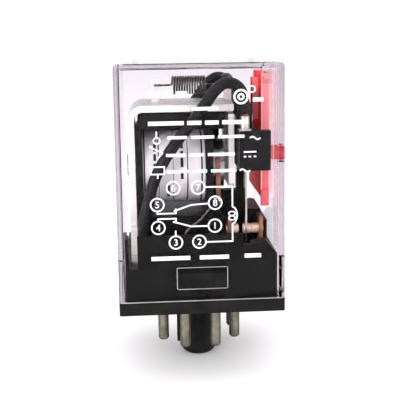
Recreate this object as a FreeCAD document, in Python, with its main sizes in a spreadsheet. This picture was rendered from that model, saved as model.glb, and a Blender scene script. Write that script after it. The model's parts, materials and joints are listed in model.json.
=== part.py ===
"""Plug-in relay with an octal base, two changeover contacts and a test button.

Frame: origin at the centre of the flange's underside, +Z up through the cover,
-Y the printed front, +X the side with the test button. Millimetres.
"""
import FreeCAD, Part
import math
import os
import re
import Sketcher

VECTOR = FreeCAD.Vector
X_AXIS = VECTOR(1, 0, 0)
Y_AXIS = VECTOR(0, 1, 0)
Z_AXIS = VECTOR(0, 0, 1)

# Driving dimensions: alias, value, what it is.
DIMENSIONS = [
    ("case_width", 34.5, "square flange and foot of the cover, side to side"),
    ("case_height", 51.2, "seating plane to the top of the cover"),
    ("flange_top", 2.7, "top of the base flange"),
    ("flange_round", 0.5, "rounding of the flange's upright corners"),
    ("deck_top", 4.4, "floor inside the cover"),
    ("plinth_half", 15.7, "half width of the base inside the cover"),
    ("cover_wall", 1.2, "cover wall thickness"),
    ("cover_draft", 0.48, "draft of the cover walls, degrees"),
    ("cover_round", 0.9, "outside rounding of the cover"),
    ("rib_inner", 14.1, "inner face of the cover's corner ribs, along y"),
    ("rib_outer", 15.1, "outer face of the cover's corner ribs, along y"),
    ("rib_left", 14.9, "left face of the cover's corner ribs"),
    ("rib_right", 16.2, "where the corner ribs end inside the wall"),
    ("rib_low", 13.6, "lower end of the corner ribs"),
    ("hinge_inner", 6.3, "inner face of the cover's hinge lugs, along y"),
    ("hinge_outer", 7.7, "outer face of the cover's hinge lugs, along y"),
    ("hinge_left", 13.75, "left face of the hinge lugs"),
    ("hinge_right", 16.1, "where the hinge lugs end inside the wall"),
    ("hinge_low", 46.5, "lower end of the hinge lugs"),
    ("roof_bite", 0.5, "how far ribs and lugs reach into the cover's roof"),
    ("nub_radius", 0.65, "radius of the two nubs on the cover"),
    ("nub_height", 1.2, "height of the nubs"),
    ("nub_left_x", -12.5, "left nub, along x"),
    ("nub_left_y", -15.2, "left nub, along y"),
    ("nub_right_x", 10.6, "right nub, along x"),
    ("nub_right_y", -13.0, "right nub, along y"),
    ("gap", 0.05, "assembly gap between pieces that touch"),
    ("fit", 0.02, "gap between a round piece and its bore"),
    ("overlap", 0.1, "how far fused pieces reach into each other"),
    ("through", 4.0, "depth of a cut that passes right through a thin wall"),
    ("pin_circle", 17.45, "octal pin circle diameter"),
    ("pin_radius", 1.18, "octal pin radius"),
    ("pin_root", 1.35, "pin radius inside the base"),
    ("cup_radius", 0.75, "radius of the wire cup in each pin's upper end"),
    ("cup_floor", 0.8, "height of the cup's floor above the seating plane"),
    ("pin_length", 11.0, "pin length below the flange"),
    ("pin_rounding", 0.65, "rounding of each pin's tip"),
    ("tail_radius", 0.5, "radius of the wire tails soldered into the pins"),
    ("post_radius", 3.95, "key post radius"),
    ("post_length", 15.3, "key post length"),
    ("post_rounding", 1.5, "rounding of the key post's end"),
    ("key_reach", 4.9, "outer radius of the key rib"),
    ("key_root", 3.0, "where the key rib starts inside the post"),
    ("key_length", 12.8, "length of the key rib"),
    ("key_half", 0.9, "half width of the key rib"),
    ("latch_half", 5.2, "half width of the cover's latch window"),
    ("latch_low", 5.4, "lower edge of the latch window"),
    ("latch_high", 10.0, "upper edge of the latch window"),
    ("latch_gap", 0.3, "gap between a latch and its window"),
    ("latch_reach", 16.85, "outer face of the latches"),
    ("latch_slope", 1.1, "height of the sloped top of each latch"),
    ("latch_root", 13.8, "inner face of the latch blocks"),
    ("front_wall", 14.5, "inner face of the base's front and back walls"),
    ("front_top", 16.4, "top of the front and back walls"),
    ("front_step", 8.6, "where the front and back walls drop, along x"),
    ("side_left", -14.75, "inner face of the base's left wall"),
    ("side_left_top", 9.3, "top of the base's left wall"),
    ("side_right", 13.9, "inner face of the base's right wall"),
    ("side_right_top", 12.1, "top of the base's right wall"),
    ("shoulder_left", 10.4, "left face of the right corner blocks"),
    ("shoulder_low", 14.2, "top of the right corner blocks, inner end"),
    ("shoulder_peak", 14.8, "top of the right corner blocks, highest"),
    ("shoulder_turn", 13.5, "where the right corner blocks slope down"),
    ("shoulder_depth", 3.2, "depth of the right corner blocks"),
    ("corner_inner", -13.2, "inner face of the left corner post"),
    ("corner_outer", -15.0, "outer notch of the left corner post"),
    ("corner_top", 16.0, "top of the left corner post"),
    ("corner_depth", 3.4, "depth of the left corner post"),
    ("pillar_left", -6.2, "left face of the pillar under the coil"),
    ("pillar_half", 5.4, "half depth of the pillar and of the block between the poles"),
    ("tower_half", 8.2, "half depth of the pillar's head under the coil"),
    ("tower_left", -10.9, "left face of the pillar's head"),
    ("tower_right", 5.6, "right face of the pillar"),
    ("tower_under", 12.0, "underside of the pillar's head"),
    ("tower_top", 18.8, "top of the pillar under the coil"),
    ("barrier_half", 1.0, "half thickness of the wall between the two poles"),
    ("barrier_left", 8.9, "left face of the tall part of the wall between the poles"),
    ("barrier_low", 22.8, "top of the low part of the wall between the poles"),
    ("barrier_top", 27.3, "top of the tall part of the wall between the poles"),
    ("block_left", 10.5, "left face of the block between the poles"),
    ("block_step", 13.7, "where the block between the poles drops"),
    ("block_right", 15.1, "right face of the block between the poles"),
    ("block_top", 19.3, "top of the block between the poles"),
    ("block_low", 16.8, "lower top of the block between the poles"),
    ("steel", 1.4, "yoke sheet thickness"),
    ("yoke_left", -14.6, "outer face of the yoke's upright leg"),
    ("yoke_end", 6.4, "end face of the yoke's top leg"),
    ("yoke_top", 42.4, "top face of the yoke"),
    ("yoke_half", 8.5, "half width of the yoke"),
    ("yoke_bend", 1.8, "inside radius of the yoke's bend"),
    ("yoke_ear_end", 7.6, "end of the ears beside the armature"),
    ("yoke_ear_inner", 5.6, "inner face of the ears, along y"),
    ("yoke_ear_outer", 8.0, "outer face of the ears, along y"),
    ("lug_left", -9.4, "left face of the spring's anchor lug"),
    ("lug_right", -7.8, "right face of the spring's anchor lug"),
    ("lug_half", 0.4, "half thickness of the anchor lug"),
    ("lug_height", 5.0, "height of the anchor lug above the yoke"),
    ("lug_hole_x", -8.6, "hole in the anchor lug, along x"),
    ("lug_hole", 0.45, "radius of the hole in the anchor lug"),
    ("rivet_hole", 2.25, "hole in the yoke for the core's riveted end"),
    ("coil_z", 28.8, "height of the coil axis"),
    ("coil_left", -11.7, "inner face of the left bobbin flange"),
    ("coil_right", 1.6, "inner face of the right bobbin flange"),
    ("core_radius", 3.2, "iron core radius"),
    ("core_stub", 2.2, "radius of the core's riveted end"),
    ("core_head", 2.7, "radius of the core's riveted head"),
    ("core_head_height", 0.5, "height of the core's riveted head"),
    ("hub_radius", 4.1, "bobbin hub radius"),
    ("winding_radius", 7.75, "radius over the copper winding"),
    ("tape_radius", 8.3, "radius over the insulating tape"),
    ("bobbin_half", 8.7, "half width of the bobbin flanges"),
    ("bobbin_top", 37.4, "top of the bobbin flanges"),
    ("flange_left_sheet", 1.4, "thickness of the bobbin's left flange"),
    ("flange_right_sheet", 1.6, "thickness of the bobbin's right flange"),
    ("cap_half", 8.2, "half width of the cap over the coil"),
    ("cap_low", 37.3, "underside of the cap over the coil"),
    ("cap_top", 40.7, "top of the cap over the coil"),
    ("cap_right", 5.5, "right end of the cap over the coil"),
    ("cap_lug_left", -12.5, "left end of the cap's lug"),
    ("cap_lug_top", 39.9, "top of the cap's lug"),
    ("cheek_inner", 7.6, "inner face of the cheek behind the pole"),
    ("cheek_right", 5.9, "right end of the cheek behind the pole"),
    ("foot_top", 9.5, "top of the notch in the bobbin's left flange"),
    ("foot_half", 4.0, "half width of the notch in the bobbin's left flange"),
    ("pole_radius", 5.6, "pole face radius"),
    ("pole_back", 3.4, "back of the pole piece"),
    ("pole_face", 5.85, "plane of the pole face"),
    ("ring_low", 22.1, "lower edge of the shading ring"),
    ("ring_high", 30.8, "upper edge of the shading ring"),
    ("ring_left", 3.9, "left face of the shading ring"),
    ("ring_right", 4.85, "right face of the shading ring"),
    ("ring_half", 6.6, "half length of the shading ring"),
    ("ring_bar", 0.85, "width of the shading ring's bars"),
    ("pivot_x", 6.5, "armature pivot, along x"),
    ("pivot_z", 41.6, "armature pivot, height"),
    ("armature_sheet", 1.2, "armature thickness"),
    ("armature_half", 7.5, "half width of the armature"),
    ("armature_drop", 17.0, "armature length below its pivot"),
    ("armature_tilt", 0.3, "armature lean at rest, degrees"),
    ("armature_round", 1.2, "rounding of the armature's lower corners"),
    ("shoulder_under", 1.3, "depth of the armature's side notches below the pivot"),
    ("shoulder_over", 1.1, "height of the armature's shoulders above the pivot"),
    ("neck_half", 5.2, "half width of the armature between the yoke's ears"),
    ("rivet_drop", 2.6, "carrier rivets' distance below the pivot"),
    ("rivet_y", 4.5, "carrier rivets' distance from the middle"),
    ("rivet_radius", 0.9, "radius of the carrier rivets"),
    ("rivet_head", 1.5, "radius of the carrier rivets' heads"),
    ("rivet_head_height", 0.5, "height of the carrier rivets' heads"),
    ("tail_half", 2.6, "half width of the armature's tail"),
    ("tail_top", 5.6, "armature tail's reach above the pivot"),
    ("tail_hole", 0.65, "radius of the spring's hole in the armature's tail"),
    ("spring_z", 46.0, "height of the return spring's axis"),
    ("spring_left", -4.85, "left end of the spring's turns"),
    ("spring_right", 2.45, "right end of the spring's turns"),
    ("spring_radius", 1.83, "mean radius of the spring's turns"),
    ("spring_wire", 0.2, "radius of the spring's wire"),
    ("spring_turns", 13, "number of turns"),
    ("carrier_left", 8.3, "inner face of the contact carrier"),
    ("carrier_right", 12.9, "outer face of the carrier's crossbar"),
    ("carrier_low", 29.0, "underside of the carrier"),
    ("carrier_high", 37.2, "top of the carrier's crossbar"),
    ("carrier_half", 12.6, "half length of the carrier's crossbar"),
    ("back_half", 8.2, "half length of the carrier's sloped back"),
    ("back_foot", 36.0, "where the carrier's back enters the crossbar"),
    ("back_right", 11.4, "right face of the carrier's back"),
    ("back_slope", 41.5, "where the carrier's back starts to slope"),
    ("back_top", 46.2, "top of the carrier's back"),
    ("back_tip", 9.8, "right edge of the carrier's top"),
    ("back_lip", 9.0, "left edge of the carrier's top"),
    ("back_step", 44.0, "height of the step in the carrier's left face"),
    ("back_shoulder", 43.0, "height where the carrier's left face starts to slope"),
    ("ear_inner", 10.2, "inner face of the carrier's ears"),
    ("ear_right", 14.8, "outer face of the carrier's ears"),
    ("leaf_left", 9.9, "left face of the moving contact spring"),
    ("leaf_sheet", 0.35, "moving contact spring thickness"),
    ("leaf_half", 1.6, "half width of the moving contact spring"),
    ("leaf_low", 13.0, "lower end of the moving contact spring"),
    ("leaf_grip", 4.0, "length of the moving spring inside the carrier"),
    ("pole_y", 7.5, "distance of each contact set from the middle"),
    ("contact_z", 15.6, "height of the contacts"),
    ("contact_radius", 1.1, "contact rivet head radius"),
    ("contact_bevel", 0.2, "bevel of the contact heads"),
    ("contact_head", 0.45, "height of the moving contact's left head"),
    ("contact_peened", 0.85, "radius of the fixed contacts' peened ends"),
    ("peened_height", 0.2, "height of the fixed contacts' peened ends"),
    ("shank_radius", 0.55, "contact rivet shank radius"),
    ("strip_half", 1.8, "half width of the fixed terminal strips"),
    ("open_left", 6.1, "left face of the normally open strip"),
    ("open_top", 18.0, "top of the normally open strip"),
    ("open_foot", 2.5, "end of the normally open strip's foot"),
    ("open_face", 8.55, "face of the normally open contact"),
    ("closed_left", 12.85, "left face of the normally closed strip"),
    ("closed_top", 18.6, "top of the normally closed strip"),
    ("closed_face", 11.3, "face of the normally closed contact"),
    ("closed_foot", 7.2, "left end of the normally closed strip's foot"),
    ("closed_arm", 8.9, "right end of the normally closed strip's arm"),
    ("foot_inner", 5.7, "inner edge of the normally closed strip's foot"),
    ("foot_outer", 9.2, "outer edge of the normally closed strip's foot"),
    ("arm_inner", 2.5, "inner edge of the normally closed strip's arm"),
    ("strip_sheet", 0.8, "terminal strip thickness"),
    ("lug_x", 9.5, "pigtail lug, along x"),
    ("lug_y", 10.9, "pigtail lug's distance from the middle"),
    ("lug_barrel", 1.0, "radius of the pigtail lug's barrel"),
    ("lug_barrel_height", 3.0, "height of the pigtail lug's barrel"),
    ("lug_flag_x", 1.2, "half length of the pigtail lug's flag"),
    ("lug_flag_y", 1.3, "half width of the pigtail lug's flag"),
    ("lug_flag_sheet", 0.4, "thickness of the pigtail lug's flag"),
    ("lever_left", 13.65, "inner face of the test lever"),
    ("lever_sheet", 1.7, "test lever thickness"),
    ("lever_top", 48.6, "top of the test lever"),
    ("lever_half", 6.0, "half width of the test lever"),
    ("lever_hip", 36.0, "where the test lever widens towards the back"),
    ("lever_waist", 30.0, "where the test lever passes the carrier's ears"),
    ("lever_side", 9.5, "back edge of the test lever beside the carrier"),
    ("lever_back", 13.0, "back edge of the test lever's foot"),
    ("lever_heel", 28.4, "top of the test lever's foot"),
    ("lever_low", 22.0, "lower edge of the test lever"),
    ("toe_low", 20.2, "lower end of the test lever's toe"),
    ("toe_top", 23.6, "upper end of the test lever's toe"),
    ("toe_front", -6.6, "front face of the test lever's toe"),
    ("toe_back", -5.7, "back face of the test lever's toe"),
    ("boss_half", 1.6, "half width of the boss that pushes the carrier"),
    ("boss_left", 12.4, "left face of the boss that pushes the carrier"),
    ("boss_low", 38.4, "lower end of the boss that pushes the carrier"),
    ("boss_top", 47.4, "upper end of the boss that pushes the carrier"),
    ("lever_pivot_z", 48.0, "height of the test lever's trunnions"),
    ("trunnion_radius", 0.6, "test lever trunnion radius"),
    ("trunnion_length", 14.8, "length over both trunnions"),
    ("button_y", -3.0, "test button, along y"),
    ("button_z", 31.3, "test button height"),
    ("button_radius", 1.6, "test button radius"),
    ("button_end", 19.2, "outer end of the test button"),
    ("button_round", 0.4, "rounding of the test button's end"),
    ("button_hole", 2.0, "radius of the button's hole in the cover"),
    ("sleeve_radius", 1.2, "outer radius of the pigtail sleeve"),
    ("sleeve_bore", 0.85, "inner radius of the pigtail sleeve"),
    ("braid_radius", 0.8, "radius of the pigtail braid"),
    ("lead_radius", 0.25, "radius of the insulated coil leads"),
]

FIRST_PIN_ANGLE = 202.5     # pin 1 lies beside the key rib, which points to -X
PIN_COUNT = 8
PIN_STEP = 360 / PIN_COUNT

# Route of the front pigtail from the carrier's lug down to pin 1; the back one is its mirror image.
PIGTAIL_ROUTE = [
    (9.5, -10.9, 40.6),
    (9.4, -10.9, 43.8),
    (8.3, -10.9, 46.4),
    (5.6, -10.9, 47.3),
    (3.1, -10.9, 45.2),
    (0.9, -10.9, 41.8),
    (-5.6, -10.9, 33.9),
    (-9.2, -10.9, 27.9),
    (-10.6, -10.9, 22.9),
    (-12.2, -10.9, 17.2),
    (-11.6, -10.9, 12.8),
    (-10.0, -9.3, 9.6),
    (-8.9, -5.4, 8.3),
    (-8.06, -3.4, 6.6),
    (-8.06, -3.34, 4.6),
]

# Route of the front coil lead from the right bobbin flange down to pin 2; the back one is its mirror image.
COIL_LEAD_ROUTE = [
    (2.4, -9.2, 20.6),
    (0.0, -9.3, 17.8),
    (-2.8, -9.4, 16.1),
    (-3.5, -9.4, 12.4),
    (-3.5, -8.8, 6.8),
    (-3.34, -8.06, 4.5),
]

doc = FreeCAD.newDocument("relay")
sheet = doc.addObject("Spreadsheet::Sheet", "Dim")
for row, (alias, value, meaning) in enumerate(DIMENSIONS, start=1):
    sheet.set(f"A{row}", alias)
    sheet.set(f"B{row}", str(value))
    sheet.set(f"C{row}", meaning)
    sheet.setAlias(f"B{row}", alias)
doc.recompute()

ALIASES = {alias for alias, value, meaning in DIMENSIONS}
nodes = {}


def size(alias):
    """The sheet's present value of one driving dimension."""
    return float(sheet.get(alias))


def bound(formula):
    """A formula in the sheet's aliases, written as an expression of the document."""
    return re.sub(r"[a-z][a-z_]+", lambda word: f"Dim.{word[0]}" if word[0] in ALIASES else word[0], formula)


def node(name, item):
    """Name a finished sub-part after its node."""
    item.Label = name
    nodes[name] = item
    return item


# ---- sketches and features of a body -------------------------------------------------------------

def new_body(name):
    return doc.addObject("PartDesign::Body", f"{name}_body")


def new_sketch(body, plane, lift):
    """An empty sketch on one of the body's own origin planes, raised along the plane's normal."""
    sketch = body.newObject("Sketcher::SketchObject", "Sketch")
    support = next(item for item in body.Origin.OriginFeatures if item.Role == plane)
    sketch.AttachmentSupport = [(support, "")]
    sketch.MapMode = "FlatFace"
    sketch.setExpression(".AttachmentOffset.Base.z", bound(lift))
    return sketch


def pin_point(sketch, geometry, position, point):
    """Tie one sketch point to the sketch's origin by two bound distances."""
    for kind, formula in zip(("DistanceX", "DistanceY"), point):
        index = sketch.addConstraint(Sketcher.Constraint(kind, -1, 1, geometry, position, 1.0))
        sketch.setExpression(f"Constraints[{index}]", bound(formula))


def outline(body, plane, points, lift="0"):
    """A closed polygon whose corners are formulas."""
    sketch = new_sketch(body, plane, lift)
    count = len(points)
    corners = [
        VECTOR(math.cos(2 * math.pi * k / count), math.sin(2 * math.pi * k / count), 0)
        for k in range(count)
    ]
    for k in range(count):
        sketch.addGeometry(Part.LineSegment(corners[k], corners[(k + 1) % count]))
    for k in range(count):
        sketch.addConstraint(Sketcher.Constraint("Coincident", k, 2, (k + 1) % count, 1))
    for k, point in enumerate(points):
        pin_point(sketch, k, 1, point)
    return sketch


def rectangle(body, plane, across, up, lift="0"):
    (left, right), (low, high) = across, up
    return outline(body, plane, [(left, low), (right, low), (right, high), (left, high)], lift)


def disc(body, plane, centre, radius, lift="0"):
    sketch = new_sketch(body, plane, lift)
    sketch.addGeometry(Part.Circle(VECTOR(0, 0, 0), Z_AXIS, 1.0))
    pin_point(sketch, 0, 3, centre)
    index = sketch.addConstraint(Sketcher.Constraint("Radius", 0, 1.0))
    sketch.setExpression(f"Constraints[{index}]", bound(radius))
    return sketch


def extrude(body, sketch, length, kind="Pad", symmetric=False, backwards=False, taper=None):
    """Pad or pocket a sketch by a bound length."""
    feature = body.newObject(f"PartDesign::{kind}", kind)
    feature.Profile = sketch
    feature.setExpression("Length", bound(length))
    feature.SideType = "Symmetric" if symmetric else "One side"
    feature.Reversed = backwards
    if taper:
        feature.setExpression("TaperAngle", bound(taper))
    return feature


def revolve(body, sketch):
    """Turn a half profile once around the sketch's vertical axis."""
    feature = body.newObject("PartDesign::Revolution", "Revolution")
    feature.Profile = sketch
    feature.ReferenceAxis = (sketch, ["V_Axis"])
    feature.Angle = 360
    return feature


def soften(body, radius, chosen, kind="Fillet"):
    """Fillet or chamfer the edges of the body's last feature that pass the test."""
    doc.recompute()
    base = body.Tip
    names = [f"Edge{k}" for k, edge in enumerate(base.Shape.Edges, start=1) if chosen(edge)]
    feature = body.newObject(f"PartDesign::{kind}", kind)
    feature.Base = (base, names)
    feature.setExpression("Radius" if kind == "Fillet" else "Size", bound(radius))
    return feature


def is_upright(edge):
    """True for a straight edge that runs within a few degrees of vertical."""
    if len(edge.Vertexes) != 2:
        return False
    run = edge.Vertexes[1].Point - edge.Vertexes[0].Point
    return run.Length > 0 and abs(run.z) > 0.99 * run.Length


def is_at(value, formula):
    """True where a coordinate equals a driving dimension, written with or without a minus sign."""
    sign = -1 if formula.startswith("-") else 1
    return abs(value - sign * size(formula.lstrip("-"))) < 0.01


# ---- primitives and booleans ---------------------------------------------------------------------

def block(name, x, y, z):
    """A box between pairs of formulas."""
    box = doc.addObject("Part::Box", name)
    for prop, axis, (low, high) in zip(("Length", "Width", "Height"), "xyz", (x, y, z)):
        box.setExpression(prop, bound(f"({high}) - ({low})"))
        box.setExpression(f"Placement.Base.{axis}", bound(low))
    return box


def place(item, start, direction):
    """Lay an item's own Z axis along a direction, starting at a point given by formulas."""
    item.Placement = FreeCAD.Placement(VECTOR(), FreeCAD.Rotation(Z_AXIS, direction))
    for axis, formula in zip("xyz", start):
        item.setExpression(f"Placement.Base.{axis}", bound(formula))
    return item


def rod(name, start, direction, radius, length):
    cylinder = doc.addObject("Part::Cylinder", name)
    cylinder.setExpression("Radius", bound(radius))
    cylinder.setExpression("Height", bound(length))
    return place(cylinder, start, direction)


def taper(name, start, direction, radius, end_radius, length):
    cone = doc.addObject("Part::Cone", name)
    cone.setExpression("Radius1", bound(radius))
    cone.setExpression("Radius2", bound(end_radius))
    cone.setExpression("Height", bound(length))
    return place(cone, start, direction)


def fuse(name, pieces):
    union = doc.addObject("Part::MultiFuse", name)
    union.Shapes = pieces
    return union


def cut(name, base, tools):
    difference = doc.addObject("Part::Cut", name)
    difference.Base = base
    difference.Tool = tools[0] if len(tools) == 1 else fuse(f"{name}_tools", tools)
    return difference


def group(name, pieces):
    compound = doc.addObject("Part::Compound", name)
    compound.Links = pieces
    return compound


def tube(name, start, direction, radius, bore, length):
    return cut(name, rod(f"{name}_outer", start, direction, radius, length),
               [rod(f"{name}_bore", start, direction, bore, length)])


# ---- wires along a route -------------------------------------------------------------------------

def rounded_wire(points):
    """Straight runs joined by tangent arcs, each arc as large as its two runs allow."""
    share = 0.45
    corners = [VECTOR(*point) for point in points]
    edges = []
    start = corners[0]
    for before, corner, after in zip(corners, corners[1:], corners[2:]):
        into = (corner - before).normalize()
        out = (after - corner).normalize()
        turn = into.getAngle(out)
        reach = share * min((corner - before).Length, (after - corner).Length)
        radius = reach / math.tan(turn / 2)
        print(f"  bend radius {radius:.1f}")
        arc_start = corner - into * reach
        arc_end = corner + out * reach
        bisector = (out - into).normalize()
        middle = corner + bisector * (radius / math.cos(turn / 2) - radius)
        edges.append(Part.LineSegment(start, arc_start).toShape())
        edges.append(Part.Arc(arc_start, middle, arc_end).toShape())
        start = arc_end
    edges.append(Part.LineSegment(start, corners[-1]).toShape())
    return Part.Wire(edges)


def swept(path, radius):
    """A round solid along a path, with its volume compared with section times length."""
    first = path.Edges[0]
    circle = Part.Circle(first.Vertexes[0].Point, first.tangentAt(first.FirstParameter), radius)
    solid = path.makePipeShell([Part.Wire(circle.toShape())], True, False)
    expected = math.pi * radius ** 2 * path.Length
    if abs(solid.Volume / expected - 1) > 0.01:
        raise ValueError(f"sweep volume {solid.Volume:.3f}, expected {expected:.3f}")
    return solid


def feature_from(name, shape):
    feature = doc.addObject("Part::Feature", name)
    feature.Shape = shape
    return feature


def mirrored(points):
    return [(x, -y, z) for x, y, z in points]


# ---- base and pins -------------------------------------------------------------------------------

def build_base():
    """Black moulding: flange, plinth, walls, coil pillar, latches, key post and pin holes."""
    body = new_body("base")
    half = ("-case_width/2", "case_width/2")
    plinth = ("-plinth_half", "plinth_half")
    extrude(body, rectangle(body, "XY_Plane", half, half), "flange_top")
    soften(body, "flange_round", is_upright)
    extrude(body, rectangle(body, "XY_Plane", plinth, plinth, "flange_top"), "deck_top - flange_top")

    on_deck = [
        (("pillar_left", "tower_right"), ("-pillar_half", "pillar_half"), "tower_top"),
        (("side_left", "-plinth_half"), plinth, "side_left_top"),
        (("side_right", "plinth_half"), plinth, "side_right_top"),
        (("corner_inner", "front_step"), ("-plinth_half", "-front_wall"), "front_top"),
        (("corner_inner", "front_step"), ("front_wall", "plinth_half"), "front_top"),
        (("front_step", "shoulder_left"), ("-plinth_half", "-front_wall"), "shoulder_low"),
        (("front_step", "shoulder_left"), ("front_wall", "plinth_half"), "shoulder_low"),
    ]
    for across, deep, top in on_deck:
        extrude(body, rectangle(body, "XY_Plane", across, deep, "deck_top"), f"{top} - deck_top")
    head_sides = ("tower_left", "tower_right"), ("-tower_half", "tower_half")
    extrude(body, rectangle(body, "XY_Plane", *head_sides, "tower_under"), "tower_top - tower_under")

    barrier = [("tower_right - overlap", "deck_top"), ("block_left + overlap", "deck_top"),
               ("block_left + overlap", "barrier_top"), ("barrier_left", "barrier_top"),
               ("barrier_left", "barrier_low"), ("tower_right - overlap", "barrier_low")]
    extrude(body, outline(body, "XZ_Plane", barrier), "2*barrier_half", symmetric=True)
    block_profile = [("block_left", "deck_top"), ("block_right", "deck_top"), ("block_right", "block_low"),
                     ("block_step", "block_low"), ("block_step", "block_top"), ("block_left", "block_top")]
    extrude(body, outline(body, "XZ_Plane", block_profile), "2*pillar_half", symmetric=True)

    shoulder = [("shoulder_left", "deck_top"), ("plinth_half", "deck_top"), ("plinth_half", "side_right_top"),
                ("shoulder_turn", "shoulder_peak"), ("shoulder_left", "shoulder_low")]
    corner = [("-plinth_half", "deck_top"), ("corner_inner", "deck_top"),
              ("corner_inner", "side_left_top"), ("corner_outer", "side_left_top"),
              ("corner_outer", "corner_top"), ("-plinth_half", "corner_top")]
    extrude(body, outline(body, "XZ_Plane", corner, "plinth_half"), "corner_depth", backwards=True)
    extrude(body, outline(body, "XZ_Plane", shoulder, "plinth_half"), "shoulder_depth", backwards=True)
    extrude(body, outline(body, "XZ_Plane", shoulder, "-plinth_half"), "shoulder_depth")

    latch = [("-plinth_half", "deck_top"), ("-plinth_half", "latch_low + latch_gap"),
             ("-latch_reach", "latch_low + latch_gap"),
             ("-latch_reach", "latch_high - latch_gap - latch_slope"),
             ("-plinth_half", "latch_high - latch_gap"), ("-plinth_half", "latch_high + latch_gap"),
             ("-latch_root", "latch_high + latch_gap"), ("-latch_root", "deck_top")]
    back_latch = [(f"-({y})", z) for y, z in latch]
    latch_width = "2*latch_half - 2*latch_gap"
    extrude(body, outline(body, "YZ_Plane", latch), latch_width, symmetric=True)
    extrude(body, outline(body, "YZ_Plane", back_latch), latch_width, symmetric=True)

    post = [("0", "0"), ("post_radius", "0"), ("post_radius", "-post_length"), ("0", "-post_length")]
    revolve(body, outline(body, "XZ_Plane", post))
    soften(body, "post_rounding", lambda edge: is_at(edge.BoundBox.ZMax, "-post_length")
           and edge.BoundBox.XLength > size("post_radius"))
    rib = rectangle(body, "XY_Plane", ("-key_reach", "-key_root"), ("-key_half", "key_half"))
    extrude(body, rib, "key_length", backwards=True)

    hole_centre = ("pin_circle/2*cos(22.5)", "pin_circle/2*sin(22.5)")
    hole_sketch = disc(body, "XY_Plane", hole_centre, "pin_root + fit")
    hole = extrude(body, hole_sketch, "deck_top", kind="Pocket", backwards=True)
    pattern = body.newObject("PartDesign::PolarPattern", "PinHoles")
    pattern.Originals = [hole]
    pattern.Axis = (hole.Profile[0], ["N_Axis"])
    pattern.Angle = 360
    pattern.Occurrences = PIN_COUNT
    body.Tip = pattern
    return node("base", body)


def build_pin(number):
    """Plated pin with a rounded tip, a thicker root held in the base and a cup for its wire at the top."""
    body = new_body(f"pin_{number}")
    profile = [("0", "-pin_length"), ("pin_radius", "-pin_length"), ("pin_radius", "0"), ("pin_root", "0"),
               ("pin_root", "deck_top - gap"), ("cup_radius", "deck_top - gap"), ("cup_radius", "cup_floor"),
               ("0", "cup_floor")]
    revolve(body, outline(body, "XZ_Plane", profile))
    soften(body, "pin_rounding", lambda edge: is_at(edge.BoundBox.ZMax, "-pin_length"))
    x, y = pin_place(number)
    body.setExpression("Placement.Base.x", bound(x))
    body.setExpression("Placement.Base.y", bound(y))
    return node(f"pin_{number}", body)


def pin_place(number):
    """Formulas for one pin's centre."""
    angle = FIRST_PIN_ANGLE + PIN_STEP * (number - 1)
    return f"pin_circle/2*cos({angle})", f"pin_circle/2*sin({angle})"


def build_solder():
    """Solder between each wire tail and the cup of its pin."""
    slugs = []
    for number in range(1, PIN_COUNT + 1):
        x, y = pin_place(number)
        slugs.append(tube(f"solder_{number}", (x, y, "cup_floor + 3*gap"), Z_AXIS, "cup_radius - fit/2",
                          "tail_radius + fit/2", "deck_top - cup_floor - 6*gap"))
    return node("pin_solder", group("solder_group", slugs))


def tail(name, number):
    """The short round tail of a terminal or lead that is soldered into its pin's cup."""
    x, y = pin_place(number)
    length = "deck_top - cup_floor + 2*overlap"
    return rod(f"{name}_tail", (x, y, "cup_floor + 2*gap"), Z_AXIS, "tail_radius", length)


# ---- cover ---------------------------------------------------------------------------------------

def build_cover():
    """Clear drafted shell with latch windows, a button hole, ribs, hinge lugs and two top nubs."""
    body = new_body("cover")
    half = ("-case_width/2", "case_width/2")
    inner = ("-(case_width/2 - cover_wall)", "case_width/2 - cover_wall")
    full = "case_height - flange_top - gap"
    extrude(body, rectangle(body, "XY_Plane", half, half, "flange_top + gap"), full, taper="-cover_draft")
    soften(body, "cover_round", lambda edge: is_upright(edge) or is_at(edge.BoundBox.ZMin, "case_height"))
    extrude(body, rectangle(body, "XY_Plane", inner, inner, "flange_top + gap"), f"{full} - cover_wall",
            kind="Pocket", backwards=True, taper="-cover_draft")
    extrude(body, rectangle(body, "XZ_Plane", ("-latch_half", "latch_half"), ("latch_low", "latch_high")),
            "case_width + through", kind="Pocket", symmetric=True)

    for kind in ("rib", "hinge"):
        near, far, low = f"{kind}_inner", f"{kind}_outer", f"{kind}_low"
        for edges in ((f"-{far}", f"-{near}"), (near, far)):
            lug = rectangle(body, "XY_Plane", (f"{kind}_left", f"{kind}_right"), edges, low)
            extrude(body, lug, f"case_height - cover_wall + roof_bite - {low}")
    pivot = ("lever_left + lever_sheet/2", "lever_pivot_z")
    extrude(body, disc(body, "XZ_Plane", pivot, "trunnion_radius + gap"), "2*hinge_outer", kind="Pocket",
            symmetric=True)
    button_way = disc(body, "YZ_Plane", ("button_y", "button_z"), "button_hole", "rib_left + overlap")
    extrude(body, button_way, "through", kind="Pocket", backwards=True)
    for side in ("left", "right"):
        centre = (f"nub_{side}_x", f"nub_{side}_y")
        extrude(body, disc(body, "XY_Plane", centre, "nub_radius", "case_height - roof_bite"),
                "nub_height + roof_bite")
    return node("cover", body)


# ---- magnet --------------------------------------------------------------------------------------

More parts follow.
